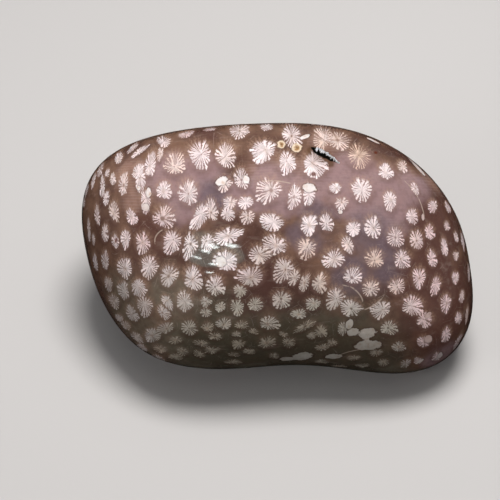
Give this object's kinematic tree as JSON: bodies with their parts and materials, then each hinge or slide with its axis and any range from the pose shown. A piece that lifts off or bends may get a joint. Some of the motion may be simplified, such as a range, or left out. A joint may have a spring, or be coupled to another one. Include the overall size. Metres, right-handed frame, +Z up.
{
  "type": "polished fossil coral",
  "caption": "Bean-shaped pebble of agatized fossil coral, polished all over, leaning back on a small flat foot, with a crystal-lined cleft near its crown.",
  "frame": {"origin": "centre of the bounding box at the flat foot", "axes": "+X along the length to the right of the broad face, -Y to the front that the broad face looks to, +Z up"},
  "size_m": [0.0612, 0.0378, 0.0325],
  "materials": {
    "polished_agate": "high polish, translucent brown to grey agate crowded with pale flower-like corallites",
    "quartz_crystals": "small sparkling bluish-white crystal points"
  },
  "bodies": {
    "root": {"fossil_coral": "polished_agate", "cleft_crystals": "quartz_crystals"}
  },
  "joints": []
}
